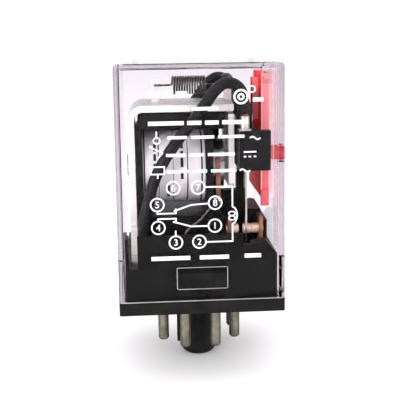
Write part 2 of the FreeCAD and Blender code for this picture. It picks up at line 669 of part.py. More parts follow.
def build_yoke():
    """L-shaped yoke bent from sheet, with two ears that hold the armature and the spring's anchor lug."""
    body = new_body("yoke")
    inner = "yoke_left + steel"
    under = "yoke_top - steel"
    profile = [("yoke_left", "deck_top + gap"), (inner, "deck_top + gap"), (inner, under),
               ("yoke_end", under), ("yoke_end", "yoke_top"), ("yoke_left", "yoke_top")]
    extrude(body, outline(body, "XZ_Plane", profile), "2*yoke_half", symmetric=True)

    def at_bend(edge, inset):
        box = edge.BoundBox
        return (box.YLength > size("yoke_half") and is_at(box.XMin - inset, "yoke_left")
                and is_at(box.ZMin + inset, "yoke_top"))

    soften(body, "yoke_bend", lambda edge: at_bend(edge, size("steel")))
    soften(body, "yoke_bend + steel", lambda edge: at_bend(edge, 0))
    for edges in (("-yoke_ear_outer", "-yoke_ear_inner"), ("yoke_ear_inner", "yoke_ear_outer")):
        ear = rectangle(body, "XY_Plane", ("yoke_end - overlap", "yoke_ear_end"), edges, under)
        extrude(body, ear, "steel")
    lug_sides = ("lug_left", "lug_right"), ("-lug_half", "lug_half")
    extrude(body, rectangle(body, "XY_Plane", *lug_sides, "yoke_top - overlap"), "lug_height + overlap")
    extrude(body, disc(body, "XZ_Plane", ("lug_hole_x", "spring_z"), "lug_hole"), "through", kind="Pocket",
            symmetric=True)
    extrude(body, disc(body, "YZ_Plane", ("0", "coil_z"), "rivet_hole", "yoke_left - overlap"), "through",
            kind="Pocket", backwards=True)
    return node("yoke", body)


def build_core():
    """Iron core riveted into the yoke, with a round pole face slotted for the shading ring."""
    axis = ("0", "coil_z")
    inner = "yoke_left + steel"
    stub = rod("core_stub_end", ("yoke_left", *axis), X_AXIS, "core_stub", "steel + overlap")
    head = taper("core_rivet_head", ("yoke_left", *axis), -X_AXIS, "core_head", "core_stub",
                 "core_head_height")
    shaft = rod("core_shaft", (inner, *axis), X_AXIS, "core_radius", f"pole_back - ({inner})")
    pole = rod("core_pole", ("pole_back", *axis), X_AXIS, "pole_radius", "pole_face - pole_back")
    slot = block("core_slot", ("ring_left - gap", "pole_face + 1"), ("-ring_half - 1", "ring_half + 1"),
                 ("ring_high - ring_bar - gap", "ring_high + gap"))
    return node("core", cut("core_iron", fuse("core_blank", [stub, head, shaft, pole]), [slot]))


def build_shading_ring():
    """Copper loop around the lower part of the pole face."""
    outer = block("ring_outer", ("ring_left", "ring_right"), ("-ring_half", "ring_half"),
                  ("ring_low", "ring_high"))
    hole = block("ring_hole", ("ring_left - 1", "ring_right + 1"),
                 ("ring_bar - ring_half", "ring_half - ring_bar"),
                 ("ring_low + ring_bar", "ring_high - ring_bar"))
    return node("shading_ring", cut("ring_loop", outer, [hole]))


def build_bobbin():
    """Black bobbin: hub, two flanges, a cap over the coil and a cheek behind the pole."""
    axis = ("0", "coil_z")
    half = ("-bobbin_half", "bobbin_half")
    left = "coil_left - flange_left_sheet"
    right = "coil_right + flange_right_sheet"
    hub = rod("bobbin_hub", (left, *axis), X_AXIS, "hub_radius", f"{right} - ({left})")
    left_flange = block("bobbin_left", (left, "coil_left"), half, ("deck_top + gap", "bobbin_top"))
    right_flange = block("bobbin_right", ("coil_right", right), half, ("tower_top + 6*gap", "bobbin_top"))
    over = ("-cap_half", "cap_half")
    cap = block("bobbin_cap", ("coil_left - overlap", "cap_right"), over, ("cap_low", "cap_top"))
    lug = block("bobbin_lug", ("cap_lug_left", "coil_left"), over, ("cap_low", "cap_lug_top"))
    cheek = block("bobbin_cheek", ("coil_right", "cheek_right"), ("cheek_inner", "bobbin_half"),
                  ("tower_top + 6*gap", "cap_low + overlap"))
    bore = rod("bobbin_bore", (f"{left} - 1", *axis), X_AXIS, "core_radius + fit", f"{right} - ({left}) + 2")
    notch = block("bobbin_notch", (f"{left} - 1", "coil_left + 1"), ("-foot_half", "foot_half"),
                  ("flange_top", "foot_top"))
    blank = fuse("bobbin_blank", [hub, left_flange, right_flange, cap, lug, cheek])
    return node("bobbin", cut("bobbin_moulding", blank, [bore, notch]))


def build_coil():
    """Copper winding on the hub and the tape wrapped over it."""
    start = ("coil_left + gap", "0", "coil_z")
    length = "coil_right - coil_left - 2*gap"
    node("coil_winding", tube("winding", start, X_AXIS, "winding_radius", "hub_radius + fit/2", length))
    node("coil_tape", tube("tape", start, X_AXIS, "tape_radius", "winding_radius + fit/2", length))


def build_coil_lead(name, route, number):
    """Sleeved lead from the winding's end to its pin."""
    lead = feature_from(f"{name}_wire", swept(rounded_wire(route), size("lead_radius")))
    return node(name, fuse(f"{name}_all", [lead, tail(name, number)]))


# ---- moving pieces -------------------------------------------------------------------------------

def build_armature():
    """Steel armature that hangs from the yoke's end and leans slightly away from the pole at rest."""
    body = new_body("armature")
    right_side = [("armature_half", "-armature_drop"), ("armature_half", "-shoulder_under"),
                  ("neck_half", "-shoulder_under"), ("neck_half", "shoulder_over"),
                  ("tail_half", "shoulder_over"), ("tail_half", "tail_top")]
    left_side = [(f"-({y})", z) for y, z in reversed(right_side)]
    extrude(body, outline(body, "YZ_Plane", right_side + left_side), "armature_sheet")
    holes = [(("-rivet_y", "-rivet_drop"), "rivet_radius + 3*gap"),
             (("rivet_y", "-rivet_drop"), "rivet_radius + 3*gap"),
             (("0", "spring_z - pivot_z"), "tail_hole")]
    for centre, radius in holes:
        hole = disc(body, "YZ_Plane", centre, radius, "-overlap")
        extrude(body, hole, "through", kind="Pocket", backwards=True)
    soften(body, "armature_round", lambda edge: edge.BoundBox.XLength > size("armature_sheet") / 2
           and is_at(edge.BoundBox.ZMax, "-armature_drop"))
    body.Placement = FreeCAD.Placement(VECTOR(), FreeCAD.Rotation(Y_AXIS, -size("armature_tilt")))
    body.setExpression("Placement.Base.x", bound("pivot_x"))
    body.setExpression("Placement.Base.z", bound("pivot_z"))
    return node("armature", body)


def build_carrier():
    """Black moulding on the armature: a sloped back and a crossbar that grips the moving springs."""
    body = new_body("contact_carrier")
    back = [("carrier_left", "back_foot"), ("back_right", "back_foot"), ("back_right", "back_slope"),
            ("back_tip", "back_top"), ("back_lip", "back_top"), ("back_lip", "back_step"),
            ("carrier_left", "back_shoulder")]
    bar = ("-carrier_half", "carrier_half")
    height = "carrier_high - carrier_low"
    extrude(body, outline(body, "XZ_Plane", back), "2*back_half", symmetric=True)
    extrude(body, rectangle(body, "XY_Plane", ("carrier_left", "carrier_right"), bar, "carrier_low"), height)
    for edges in (("-carrier_half", "-ear_inner"), ("ear_inner", "carrier_half")):
        ear = rectangle(body, "XY_Plane", ("carrier_right - overlap", "ear_right"), edges, "carrier_low")
        extrude(body, ear, height)
    for y in ("-pole_y", "pole_y"):
        slot = rectangle(body, "XY_Plane", ("leaf_left", "leaf_left + leaf_sheet"),
                         (f"{y} - leaf_half", f"{y} + leaf_half"), "carrier_low")
        extrude(body, slot, "leaf_grip", kind="Pocket", backwards=True)
    for y in ("-rivet_y", "rivet_y"):
        hole = disc(body, "YZ_Plane", (y, "pivot_z - rivet_drop"), "rivet_radius + gap",
                    "carrier_left - overlap")
        extrude(body, hole, "through", kind="Pocket", backwards=True)
    soften(body, "flange_round", lambda edge: is_upright(edge) and is_at(edge.BoundBox.XMin, "ear_right"))
    return node("contact_carrier", body)


def build_armature_rivets():
    """Two rivets that hold the carrier on the armature."""
    inner_end = "pivot_x - gap"
    outer_end = "back_right + gap/2"
    rivets = []
    for side, y in (("front", "-rivet_y"), ("back", "rivet_y")):
        middle = (y, "pivot_z - rivet_drop")
        shank = rod(f"rivet_{side}_shank", (f"{inner_end} - overlap", *middle), X_AXIS, "rivet_radius",
                    f"{outer_end} - ({inner_end}) + 2*overlap")
        inner = taper(f"rivet_{side}_inner", (inner_end, *middle), -X_AXIS, "rivet_head", "rivet_radius",
                      "rivet_head_height")
        outer = taper(f"rivet_{side}_outer", (outer_end, *middle), X_AXIS, "rivet_head", "rivet_radius",
                      "rivet_head_height")
        rivets.append(fuse(f"rivet_{side}", [shank, inner, outer]))
    return node("armature_rivets", group("rivet_group", rivets))


def build_moving_contact(side, y):
    """Leaf spring gripped by the carrier, and its two-sided contact rivet."""
    right_face = "leaf_left + leaf_sheet"
    leaf = block(f"leaf_{side}", ("leaf_left", right_face), (f"{y} - leaf_half", f"{y} + leaf_half"),
                 ("leaf_low", "carrier_low + leaf_grip"))
    hole = rod(f"leaf_{side}_hole", ("leaf_left - 1", y, "contact_z"), X_AXIS, "shank_radius",
               "leaf_sheet + 2")
    node(f"moving_spring_{side}", cut(f"leaf_{side}_cut", leaf, [hole]))
    shank = rod(f"moving_{side}_shank", ("leaf_left - overlap", y, "contact_z"), X_AXIS, "shank_radius",
                "leaf_sheet + 2*overlap")
    left_head = contact_face(f"moving_{side}_left", "leaf_left", y, -X_AXIS, "contact_head")
    right_head = contact_face(f"moving_{side}_right", right_face, y, X_AXIS,
                              f"closed_face - gap - ({right_face})")
    node(f"moving_contact_{side}", fuse(f"moving_{side}", [shank, left_head, right_head]))


def contact_face(name, x, y, direction, height):
    """A rivet head with a bevelled rim."""
    rim = rod(f"{name}_rim", (x, y, "contact_z"), direction, "contact_radius", f"{height} - contact_bevel")
    offset = f"{direction.x:+.0f}*({height} - contact_bevel)"
    face = taper(f"{name}_face", (f"{x} {offset}", y, "contact_z"), direction, "contact_radius",
                 "contact_radius - contact_bevel", "contact_bevel")
    return fuse(name, [rim, face])


def build_pigtail_lug(side, y):
    """Crimped lug on the carrier where a pigtail is fixed."""
    barrel = rod(f"lug_{side}_barrel", ("lug_x", y, "carrier_high"), Z_AXIS, "lug_barrel",
                 "lug_barrel_height")
    flag = block(f"lug_{side}_flag", ("lug_x - lug_flag_x", "lug_x + lug_flag_x"),
                 (f"{y} - lug_flag_y", f"{y} + lug_flag_y"),
                 ("carrier_high", "carrier_high + lug_flag_sheet"))
    return node(f"pigtail_lug_{side}", fuse(f"lug_{side}", [barrel, flag]))


def build_test_lever():
    """Red test lever on two trunnions, with the button that passes through the cover's wall."""
    body = new_body("test_lever")
    plate = [("-lever_half", "toe_top"), ("toe_front", "toe_top"), ("toe_front", "toe_low"),
             ("toe_back", "toe_low"), ("toe_back", "lever_low"), ("lever_back", "lever_low"),
             ("lever_back", "lever_heel"), ("lever_side", "lever_heel"), ("lever_side", "lever_waist"),
             ("lever_half", "lever_hip"), ("lever_half", "lever_top"), ("-lever_half", "lever_top")]
    extrude(body, outline(body, "YZ_Plane", plate, "lever_left"), "lever_sheet")
    boss = rectangle(body, "YZ_Plane", ("-boss_half", "boss_half"), ("boss_low", "boss_top"), "boss_left")
    extrude(body, boss, "lever_left - boss_left + overlap")
    extrude(body, disc(body, "YZ_Plane", ("button_y", "button_z"), "button_radius", "lever_left + overlap"),
            "button_end - lever_left - overlap")
    soften(body, "button_round", lambda edge: is_at(edge.BoundBox.XMin, "button_end"))
    trunnions = disc(body, "XZ_Plane", ("lever_left + lever_sheet/2", "lever_pivot_z"), "trunnion_radius")
    extrude(body, trunnions, "trunnion_length", symmetric=True)
    return node("test_lever", body)


def build_return_spring():
    """Tension spring between the yoke's lug and the armature's tail, with a ring at each end."""
    ring_radius, hook_radius, run_in = 0.95, 1.3, 0.7
    wire = size("spring_wire")
    radius = size("spring_radius")
    left, right, height = size("spring_left"), size("spring_right"), size("spring_z")
    pitch = (right - left) / size("spring_turns")
    helix = Part.makeHelix(pitch, right - left, radius)
    helix.Placement = FreeCAD.Placement(VECTOR(left, 0, height), FreeCAD.Rotation(Z_AXIS, X_AXIS))
    first, last = helix.Edges[0], helix.Edges[-1]
    start = first.valueAt(first.FirstParameter)
    end = last.valueAt(last.LastParameter)
    section = Part.Circle(start, first.tangentAt(first.FirstParameter), wire)
    turns = Part.Wire(helix.Edges).makePipeShell([Part.Wire(section.toShape())], True, True)
    anchor = VECTOR(size("lug_hole_x") + 2 * ring_radius - 0.05, 0, height)
    hook = VECTOR(size("pivot_x") - 0.7, 0, height - 0.1)
    pieces = [turns]
    for corner, ring in ((start, anchor), (end, hook)):
        middle = VECTOR(corner.x + math.copysign(run_in, ring.x), 0, height)
        for a, b in ((corner, middle), (middle, ring)):
            pieces.append(Part.makeCylinder(wire, (b - a).Length, a, b - a))
        pieces += [Part.makeSphere(wire, corner), Part.makeSphere(wire, middle), Part.makeSphere(wire, ring)]
    pieces.append(Part.makeTorus(ring_radius, wire, anchor - X_AXIS * ring_radius, Z_AXIS))
    pieces.append(Part.makeTorus(hook_radius, wire, hook + VECTOR(1.1, 0, 1.05), Y_AXIS))
    return node("return_spring", feature_from("spring_wire_form", pieces[0].multiFuse(pieces[1:])))


# ---- fixed contacts and pigtails -----------------------------------------------------------------

def build_open_terminal(side, sign, number):
    """Normally open strip: stands in front of the pillar and bends to its pin."""
    y = f"{sign}*pole_y"
    across = (f"{y} - strip_half", f"{y} + strip_half")
    name = f"no_terminal_{side}"
    foot_z = ("deck_top + gap", "deck_top + gap + strip_sheet")
    upright = block(f"{name}_upright", ("open_left", "open_left + strip_sheet"), across,
                    (foot_z[0], "open_top"))
    foot = block(f"{name}_foot", ("open_foot", "open_left + overlap"), across, foot_z)
    hole = rod(f"{name}_hole", ("open_left - 1", y, "contact_z"), X_AXIS, "shank_radius", "strip_sheet + 2")
    solid = fuse(f"{name}_blank", [upright, foot, tail(name, number)])
    node(name, cut(f"{name}_cut", solid, [hole]))
    build_fixed_contact(f"no_contact_{side}", "open_left", "open_face", y, X_AXIS)


def build_closed_terminal(side, sign, number):
    """Normally closed strip: stands beside the block between the poles and bends to its pin."""
    y = f"{sign}*pole_y"
    across = (f"{y} - strip_half", f"{y} + strip_half")
    name = f"nc_terminal_{side}"
    foot_z = ("deck_top + gap", "deck_top + gap + strip_sheet")
    right = "closed_left + strip_sheet"
    ends = ("-foot_outer", "-foot_inner") if sign < 0 else ("foot_inner", "foot_outer")
    arm_reach = "foot_inner + overlap"
    arm_ends = (f"-({arm_reach})", "-arm_inner") if sign < 0 else ("arm_inner", arm_reach)
    upright = block(f"{name}_upright", ("closed_left", right), across, (foot_z[0], "closed_top"))
    foot = block(f"{name}_foot", ("closed_foot", right), ends, foot_z)
    arm = block(f"{name}_arm", ("closed_foot", "closed_arm"), arm_ends, foot_z)
    hole = rod(f"{name}_hole", ("closed_left - 1", y, "contact_z"), X_AXIS, "shank_radius", "strip_sheet + 2")
    solid = fuse(f"{name}_blank", [upright, foot, arm, tail(name, number)])
    node(name, cut(f"{name}_cut", solid, [hole]))
    build_fixed_contact(f"nc_contact_{side}", right, "closed_face", y, -X_AXIS)


def build_fixed_contact(name, back, face, y, direction):
    """Rivet set through a strip from its back plane, with its head towards the moving contact."""
    way = f"{direction.x:+.0f}"
    front = f"{back} {way}*strip_sheet"
    shank = rod(f"{name}_shank", (back, y, "contact_z"), direction, "shank_radius", "strip_sheet + overlap")
    peened = rod(f"{name}_peened", (back, y, "contact_z"), direction * -1, "contact_peened", "peened_height")
    head = contact_face(f"{name}_head", front, y, direction, f"{way}*({face} - ({front}))")
    return node(name, fuse(f"{name}_all", [shank, peened, head]))


def build_pigtail(side, route, number):
    """Flexible copper braid in a black sleeve, from the carrier's lug to the common pin."""
    path = rounded_wire(route)
    braid = feature_from(f"braid_{side}", swept(path, size("braid_radius")))
    node(f"pigtail_braid_{side}", fuse(f"braid_{side}_all", [braid, tail(f"braid_{side}", number)]))
    sleeve = swept(path, size("sleeve_radius")).cut(swept(path, size("sleeve_bore")))
    node(f"pigtail_sleeve_{side}", feature_from(f"sleeve_{side}", sleeve))


# ---- assembly ------------------------------------------------------------------------------------

build_base()
for pin_number in range(1, PIN_COUNT + 1):
    build_pin(pin_number)
build_solder()
build_cover()
build_yoke()
build_core()
build_shading_ring()
build_bobbin()
build_coil()
build_coil_lead("coil_lead_front", COIL_LEAD_ROUTE, 2)
build_coil_lead("coil_lead_back", mirrored(COIL_LEAD_ROUTE), 7)
build_armature()
build_carrier()
build_armature_rivets()
for side_name, side_y in (("front", "-pole_y"), ("back", "pole_y")):
    build_moving_contact(side_name, side_y)
build_pigtail_lug("front", "-lug_y")
build_pigtail_lug("back", "lug_y")
build_test_lever()
build_return_spring()
build_open_terminal("front", -1, 3)
build_open_terminal("back", 1, 6)
build_closed_terminal("front", -1, 4)
build_closed_terminal("back", 1, 5)
build_pigtail("front", PIGTAIL_ROUTE, 1)
build_pigtail("back", mirrored(PIGTAIL_ROUTE), 8)

doc.recompute()

for item in doc.Objects:
    if "Invalid" in item.State or "Error" in item.State:
        raise RuntimeError(f"{item.Label} failed: {item.State}")
for name, item in nodes.items():
    if item.Shape.isNull() or not item.Shape.isValid():
        raise RuntimeError(f"{name} has no valid shape")

os.makedirs("parts", exist_ok=True)
for name, item in nodes.items():
    item.Shape.exportStep(f"parts/{name}.step")
    box = item.Shape.BoundBox
    print(f"{name}: {len(item.Shape.Solids)} solid(s), volume {item.Shape.Volume:.2f}, "
          f"x {box.XMin:.2f}..{box.XMax:.2f} y {box.YMin:.2f}..{box.YMax:.2f} "
          f"z {box.ZMin:.2f}..{box.ZMax:.2f}")
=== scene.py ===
"""Looks of the plug-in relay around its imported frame: finishes, coil tape, spring, pigtails and print."""

import json
import math

import bmesh
import bpy
from mathutils import Matrix, Vector, noise


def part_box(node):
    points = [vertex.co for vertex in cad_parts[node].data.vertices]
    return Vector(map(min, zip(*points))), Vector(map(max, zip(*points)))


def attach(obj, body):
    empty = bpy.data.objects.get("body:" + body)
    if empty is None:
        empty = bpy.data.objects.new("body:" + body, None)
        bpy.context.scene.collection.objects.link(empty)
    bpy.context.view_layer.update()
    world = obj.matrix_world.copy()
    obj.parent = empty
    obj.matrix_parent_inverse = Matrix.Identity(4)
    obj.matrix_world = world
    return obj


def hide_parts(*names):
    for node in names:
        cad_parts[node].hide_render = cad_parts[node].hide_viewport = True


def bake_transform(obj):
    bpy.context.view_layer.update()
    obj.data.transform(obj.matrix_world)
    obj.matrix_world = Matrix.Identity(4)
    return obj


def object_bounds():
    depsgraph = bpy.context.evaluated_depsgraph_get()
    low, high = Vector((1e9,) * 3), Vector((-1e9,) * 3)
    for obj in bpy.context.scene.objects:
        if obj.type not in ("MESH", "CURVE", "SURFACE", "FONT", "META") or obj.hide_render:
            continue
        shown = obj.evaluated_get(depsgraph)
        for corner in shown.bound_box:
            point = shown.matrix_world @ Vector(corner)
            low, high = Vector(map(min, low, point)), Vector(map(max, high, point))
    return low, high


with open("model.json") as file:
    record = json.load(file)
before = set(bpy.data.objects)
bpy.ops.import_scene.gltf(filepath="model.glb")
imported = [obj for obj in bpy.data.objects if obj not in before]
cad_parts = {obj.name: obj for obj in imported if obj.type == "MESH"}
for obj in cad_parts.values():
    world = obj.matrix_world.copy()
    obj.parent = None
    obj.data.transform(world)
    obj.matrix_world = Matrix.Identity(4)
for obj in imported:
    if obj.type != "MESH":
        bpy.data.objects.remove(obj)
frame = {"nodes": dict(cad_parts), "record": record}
cad_low, cad_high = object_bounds()
cad_low, cad_high = cad_low.copy(), cad_high.copy()

MM = 0.001
ALONG_X = Vector((1, 0, 0))
ALONG_Y = Vector((0, 1, 0))
UP = Vector((0, 0, 1))
DRAFT = 0.48                                            # lean of the cover's walls, in degrees
WINDOW_HALF, WINDOW_LOW, WINDOW_HIGH = 5.2, 5.4, 10.0   # latch windows, in millimetres


def mm(x, y, z):
    return Vector((x, y, z)) * MM


# ---- node helpers --------------------------------------------------------------------------------

def new_material(name):
    material = bpy.data.materials.new(name)
    material.use_nodes = True
    return material, material.node_tree, material.node_tree.nodes["Principled BSDF"]


def add_node(tree, kind, settings=None, **inputs):
    """A shader node with some inputs set, either to a number or colour or to another node's output."""
    made = tree.nodes.new(kind)
    for key, value in (settings or {}).items():
        setattr(made, key, value)
    for key, value in inputs.items():
        socket = made.inputs[key.replace("_", " ")]
        if isinstance(value, bpy.types.NodeSocket):
            tree.links.new(value, socket)
        else:
            socket.default_value = value
    return made


def place_in(tree, stretch=(1, 1, 1)):
    """Object coordinates, stretched along the axes."""
    start = tree.nodes.new("ShaderNodeTexCoord").outputs["Object"]
    return add_node(tree, "ShaderNodeMapping", Vector=start, Scale=stretch).outputs["Vector"]


def surface_normal(tree):
    """The surface's normal in the object's own axes, split into X, Y and Z."""
    normal = tree.nodes.new("ShaderNodeTexCoord").outputs["Normal"]
    return add_node(tree, "ShaderNodeSeparateXYZ", Vector=normal)


def speckle(tree, grain, stretch=(1, 1, 1), detail=4.0):
    """Noise whose features are about as large as the grain, in metres."""
    where = place_in(tree, stretch)
    return add_node(tree, "ShaderNodeTexNoise", Vector=where, Scale=1 / grain, Detail=detail).outputs["Fac"]


def spread(tree, value, low, high, start=0.3, stop=0.7):
    """A value stretched from start..stop to low..high."""
    made = add_node(tree, "ShaderNodeMapRange", Value=value, From_Min=start, From_Max=stop,
                    To_Min=low, To_Max=high)
    return made.outputs["Result"]


def tint(tree, factor, first, second):
    """A colour between two, by a factor. Either may be another node's output."""
    made = add_node(tree, "ShaderNodeMix", {"data_type": "RGBA"})
    for socket, value in ((made.inputs[0], factor), (made.inputs[6], first), (made.inputs[7], second)):
        if isinstance(value, bpy.types.NodeSocket):
            tree.links.new(value, socket)
        else:
            socket.default_value = (*value, 1) if isinstance(value, tuple) else value
    return made.outputs[2]


def relief(tree, shader, height, depth):
    """Bump of a depth in metres."""
    made = add_node(tree, "ShaderNodeBump", Height=height, Distance=depth, Strength=1.0)
    plug(tree, shader.inputs["Normal"], made.outputs["Normal"])


def plug(tree, socket, output):
    tree.links.new(output, socket)


# ---- finishes ------------------------------------------------------------------------------------

def moulded(name, dark, light, rough, patch=3 * MM, grain=0.12 * MM, depth=0.006 * MM,
            coat=0.0, gloss=0.5):
    """Moulded plastic: cloudy colour, uneven gloss and a fine grain."""
    material, tree, shader = new_material(name)
    cloud = spread(tree, speckle(tree, patch), 0, 1)
    plug(tree, shader.inputs["Base Color"], tint(tree, cloud, dark, light))
    plug(tree, shader.inputs["Roughness"], spread(tree, speckle(tree, patch / 3), *rough))
    relief(tree, shader, speckle(tree, grain), depth)
    shader.inputs["Coat Weight"].default_value = coat
    shader.inputs["Specular IOR Level"].default_value = gloss
    return material


def darker(colour, share):
    return tuple(share * c for c in colour)


def metal(name, dark, light, rough, patch=2 * MM, brush=(1, 1, 1), grain=0.15 * MM, bare=1.0, edge=0.3):
    """Bare or plated metal: tarnish, brushed marks, painted shade on upward faces and painted shade on edges
    seen at a slant.
    """
    material, tree, shader = new_material(name)
    shader.inputs["Metallic"].default_value = bare
    patches = spread(tree, speckle(tree, patch, detail=6), 0, 1, 0.35, 0.65)
    lines = spread(tree, speckle(tree, grain, brush, detail=3), 0, 1)
    colour = tint(tree, patches, dark, light)
    streaked = tint(tree, spread(tree, lines, 0.0, 0.16, 0, 1), colour, darker(dark, 0.6))
    # painted shade: faces that point up are darkened, standing in for the dark parts they reflect
    upward_painted_shade = spread(tree, surface_normal(tree).outputs["Z"], 0.0, 0.6, 0.5, 1.0)
    upward_shaded = tint(tree, upward_painted_shade, streaked, darker(dark, 0.35))
    # painted shade: faces seen at a slant fade towards near-black, like the dark sides of a lit rod; edge
    # sets how far
    turned_away_painted_shade = tree.nodes.new("ShaderNodeLayerWeight").outputs["Facing"]
    rim = spread(tree, turned_away_painted_shade, 0.0, edge, 0.15, 0.75)
    plug(tree, shader.inputs["Base Color"], tint(tree, rim, upward_shaded, darker(dark, 0.15)))
    plug(tree, shader.inputs["Roughness"], spread(tree, speckle(tree, patch / 2, brush), *rough))
    relief(tree, shader, lines, 0.004 * MM)
    return material


def clear_plastic():
    """Clear polycarbonate with flow marks and hairlines. Lamps shine through it."""
    material, tree, shader = new_material("clear_polycarbonate")
    shader.inputs["Transmission Weight"].default_value = 1.0
    shader.inputs["IOR"].default_value = 1.13
    shader.inputs["Specular Tint"].default_value = (0.3, 0.3, 0.3, 1)
    haze = spread(tree, speckle(tree, 9 * MM, detail=2), 0, 1)
    plug(tree, shader.inputs["Base Color"], tint(tree, haze, (0.88, 0.86, 0.89), (0.92, 0.905, 0.925)))
    hairlines = speckle(tree, 0.5 * MM, (0.35, 0.35, 4.0), detail=6)
    plug(tree, shader.inputs["Roughness"], spread(tree, hairlines, 0.0, 0.045, 0.52, 0.8))
    relief(tree, shader, speckle(tree, 7 * MM, detail=1), 0.02 * MM)
    lamp = tree.nodes.new("ShaderNodeLightPath").outputs["Is Shadow Ray"]
    open_air = add_node(tree, "ShaderNodeBsdfTransparent", Color=(0.93, 0.92, 0.94, 1))
    both = tree.nodes.new("ShaderNodeMixShader")
    plug(tree, both.inputs[0], lamp)
    plug(tree, both.inputs[1], shader.outputs["BSDF"])
    plug(tree, both.inputs[2], open_air.outputs["BSDF"])
    depth = add_node(tree, "ShaderNodeVolumeAbsorption", Color=(0.66, 0.60, 0.64, 1), Density=46.0)
    plug(tree, tree.nodes["Material Output"].inputs["Surface"], both.outputs["Shader"])
    plug(tree, tree.nodes["Material Output"].inputs["Volume"], depth.outputs["Volume"])
    return material


def red_plastic():
    """Red lever moulding with painted light: paler on its front faces and more so towards its top."""
    material = moulded("red_moulding", (0.70, 0.012, 0.014), (0.86, 0.030, 0.030), (0.5, 0.7), gloss=0.12)
    tree = material.node_tree
    shader = tree.nodes["Principled BSDF"]
    red = shader.inputs["Base Color"].links[0].from_socket
    # painted light: faces that point to the front are paled towards pink, varied by random tone
    share = spread(tree, surface_normal(tree).outputs["Y"], 0.75, 0.0, -1.0, -0.4)
    uneven = spread(tree, speckle(tree, 2.5 * MM), 0.75, 1.0)
    height = add_node(tree, "ShaderNodeSeparateXYZ", Vector=place_in(tree)).outputs["Z"]
    # painted light grows towards the top of the lever
    height_painted_light = spread(tree, height, 0.45, 1.0, 24 * MM, 44 * MM)
    for factor in (uneven, height_painted_light):
        product = add_node(tree, "ShaderNodeMath", {"operation": "MULTIPLY"})
        plug(tree, product.inputs[0], share)
        plug(tree, product.inputs[1], factor)
        share = product.outputs["Value"]
    plug(tree, shader.inputs["Base Color"], tint(tree, share, red, (0.95, 0.50, 0.51)))
    shader.inputs["Subsurface Weight"].default_value = 0.9
    shader.inputs["Subsurface Radius"].default_value = (4.0 * MM, 0.3 * MM, 0.3 * MM)
    shader.inputs["Subsurface Scale"].default_value = 1.0
    return material


def tape_finish():
    """Pale insulating tape, faintly creased, with its backing showing through and painted shade along the
    creases.
    """
    material, tree, shader = new_material("insulating_tape")
    creases = speckle(tree, 1.6 * MM, (1.0, 0.25, 0.25), detail=5)
    wash = spread(tree, speckle(tree, 5 * MM, (2.0, 0.5, 0.5), detail=2), 0, 1)
    pale = tint(tree, wash, (0.74, 0.71, 0.72), (0.88, 0.85, 0.855))
    # painted shade: the tape darkens where the crease noise is high
    crease_painted_shade = tint(tree, spread(tree, creases, 0, 0.35), pale, (0.56, 0.54, 0.55))
    plug(tree, shader.inputs["Base Color"], crease_painted_shade)
    plug(tree, shader.inputs["Roughness"], spread(tree, creases, 0.28, 0.45))
    relief(tree, shader, creases, 0.03 * MM)
    shader.inputs["Coat Weight"].default_value = 0.25
    return material


def woven_sleeve():
    """Black varnished sleeve: two crossing sets of yarns over the tube's own length and girth."""
    material, tree, shader = new_material("woven_sleeve")
    yarns = []
    for slant in (1, -1):
        flat = tree.nodes.new("ShaderNodeTexCoord").outputs["UV"]
        turned = add_node(tree, "ShaderNodeMapping", Vector=flat, Rotation=(0, 0, slant * math.radians(45)))
        wave = add_node(tree, "ShaderNodeTexWave", Vector=turned.outputs["Vector"], Scale=5.0,
                        Distortion=0.6, Detail=1.0)
        yarns.append(wave.outputs["Fac"])
    weave = add_node(tree, "ShaderNodeMath", {"operation": "MAXIMUM"})
    for socket, yarn in zip(weave.inputs, yarns):
        plug(tree, socket, yarn)
    shine = spread(tree, speckle(tree, 1.2 * MM), 0, 1)
    black = (0.003, 0.003, 0.003)
    worn = tint(tree, shine, black, (0.012, 0.012, 0.012))
    plug(tree, shader.inputs["Base Color"], tint(tree, weave.outputs["Value"], black, worn))
    shader.inputs["Specular IOR Level"].default_value = 0.2
    shader.inputs["Coat Weight"].default_value = 0.06
    shader.inputs["Coat Roughness"].default_value = 0.22
    plug(tree, shader.inputs["Roughness"], spread(tree, shine, 0.32, 0.55, 0, 1))
    relief(tree, shader, weave.outputs["Value"], 0.05 * MM)
    return material


